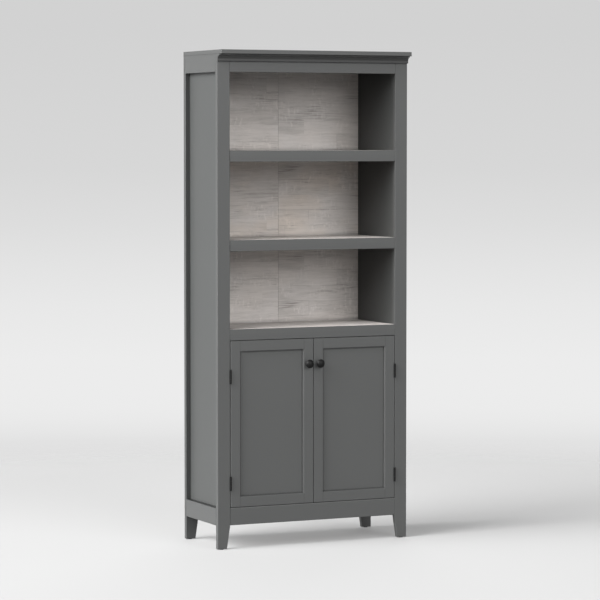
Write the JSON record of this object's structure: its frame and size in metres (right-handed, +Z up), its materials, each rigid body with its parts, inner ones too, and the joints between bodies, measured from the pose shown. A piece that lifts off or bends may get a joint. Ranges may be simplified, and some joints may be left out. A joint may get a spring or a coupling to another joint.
{
  "type": "bookcase with cabinet doors",
  "caption": "Tall grey bookcase: open shelves with a pale wood-grain back above a cabinet closed by a pair of framed doors with round knobs, on tapered legs.",
  "frame": {"origin": "on the floor, under the middle of the overall box", "axes": "+Z up, the doors face -Y, +X to the right of someone facing the doors"},
  "size_m": [0.776, 0.354, 1.829],
  "materials": {
    "grey_paint": "satin mid-grey lacquer over board",
    "wood_grain_laminate": "pale washed wood-grain laminate",
    "black_hinge_steel": "black powder coat",
    "dark_bronze_knob": "dark oil-rubbed satin",
    "zinc_steel": "zinc plated",
    "magnet_steel": "plain steel pole plates",
    "catch_plastic": "black moulded",
    "glide_plastic": "nail-on glide"
  },
  "bodies": {
    "case": {"back_panel_left": "wood_grain_laminate", "back_panel_right": "wood_grain_laminate", "cabinet_floor": "wood_grain_laminate", "catch_magnets": "magnet_steel", "crown_moulding": "grey_paint", "door_catch": "catch_plastic", "fixed_shelf_apron": "grey_paint", "fixed_shelf_board": "wood_grain_laminate", "foot_glides": "glide_plastic", "front_bottom_rail": "grey_paint", "front_stile_left": "grey_paint", "front_stile_right": "grey_paint", "front_top_rail": "grey_paint", "hinge_case_leaves": "black_hinge_steel", "hinge_case_screws": "black_hinge_steel", "hinge_pins": "black_hinge_steel", "rear_bottom_rail": "grey_paint", "rear_stile_left": "grey_paint", "rear_stile_right": "grey_paint", "rear_top_rail": "grey_paint", "shelf_pins": "zinc_steel", "side_bottom_rail_left": "grey_paint", "side_bottom_rail_right": "grey_paint", "side_panel_left": "grey_paint", "side_panel_right": "grey_paint", "side_top_rail_left": "grey_paint", "side_top_rail_right": "grey_paint", "top_panel": "grey_paint"},
    "left_door": {"left_door_bottom_rail": "grey_paint", "left_door_hinge_leaves": "black_hinge_steel", "left_door_hinge_screws": "black_hinge_steel", "left_door_hinge_stile": "grey_paint", "left_door_knob": "dark_bronze_knob", "left_door_knob_screw": "zinc_steel", "left_door_meeting_stile": "grey_paint", "left_door_panel": "grey_paint", "left_door_strike_plate": "zinc_steel", "left_door_top_rail": "grey_paint"},
    "right_door": {"right_door_bottom_rail": "grey_paint", "right_door_hinge_leaves": "black_hinge_steel", "right_door_hinge_screws": "black_hinge_steel", "right_door_hinge_stile": "grey_paint", "right_door_knob": "dark_bronze_knob", "right_door_knob_screw": "zinc_steel", "right_door_meeting_stile": "grey_paint", "right_door_panel": "grey_paint", "right_door_strike_plate": "zinc_steel", "right_door_top_rail": "grey_paint"},
    "upper_shelf": {"upper_shelf_board": "wood_grain_laminate", "upper_shelf_apron": "grey_paint"},
    "lower_shelf": {"lower_shelf_board": "wood_grain_laminate", "lower_shelf_apron": "grey_paint"},
    "cabinet_shelf": {"cabinet_shelf": "wood_grain_laminate"}
  },
  "joints": [
    {"name": "left_door_hinge", "type": "hinge", "parent": "case", "child": "left_door", "pos_m": [-0.337, -0.1427, 0.4385], "axis": [0, 0, -1], "range_deg": [0, 170]},
    {"name": "right_door_hinge", "type": "hinge", "parent": "case", "child": "right_door", "pos_m": [0.337, -0.1427, 0.4385], "axis": [0, 0, 1], "range_deg": [0, 170]},
    {"name": "upper_shelf_lift", "type": "slide", "parent": "case", "child": "upper_shelf", "axis": [0, 0, 1], "range_m": [0, 0.032]},
    {"name": "lower_shelf_lift", "type": "slide", "parent": "case", "child": "lower_shelf", "axis": [0, 0, 1], "range_m": [0, 0.032]},
    {"name": "cabinet_shelf_lift", "type": "slide", "parent": "case", "child": "cabinet_shelf", "axis": [0, 0, 1], "range_m": [0, 0.032]}
  ]
}
